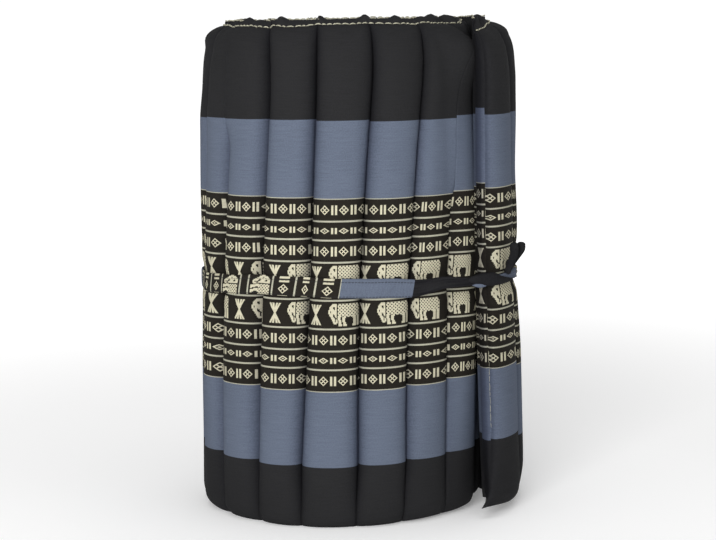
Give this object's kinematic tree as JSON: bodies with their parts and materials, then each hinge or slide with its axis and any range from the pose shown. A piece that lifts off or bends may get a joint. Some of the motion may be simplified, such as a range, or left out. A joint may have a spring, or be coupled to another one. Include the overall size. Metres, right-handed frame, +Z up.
{
  "type": "rolled thai mattress with tie strap",
  "caption": "Kapok-filled mattress pad with sewn channels and a woven striped face, rolled up, standing on its long edge and held by a cloth strap tied at the loose end.",
  "frame": {"origin": "on the floor under the middle of the whole object", "axes": "+Z up along the rolled pad's width, the strap's knot at the front right, facing -Y"},
  "size_m": [0.3357, 0.315, 0.5065],
  "materials": {
    "woven_cover": "matt woven cotton in black, blue-grey and cream-on-black bands",
    "strap_cloth": "matt woven cotton, folded and topstitched"
  },
  "bodies": {
    "root": {"mattress_roll": "woven_cover", "tie_strap": "strap_cloth"}
  },
  "joints": []
}
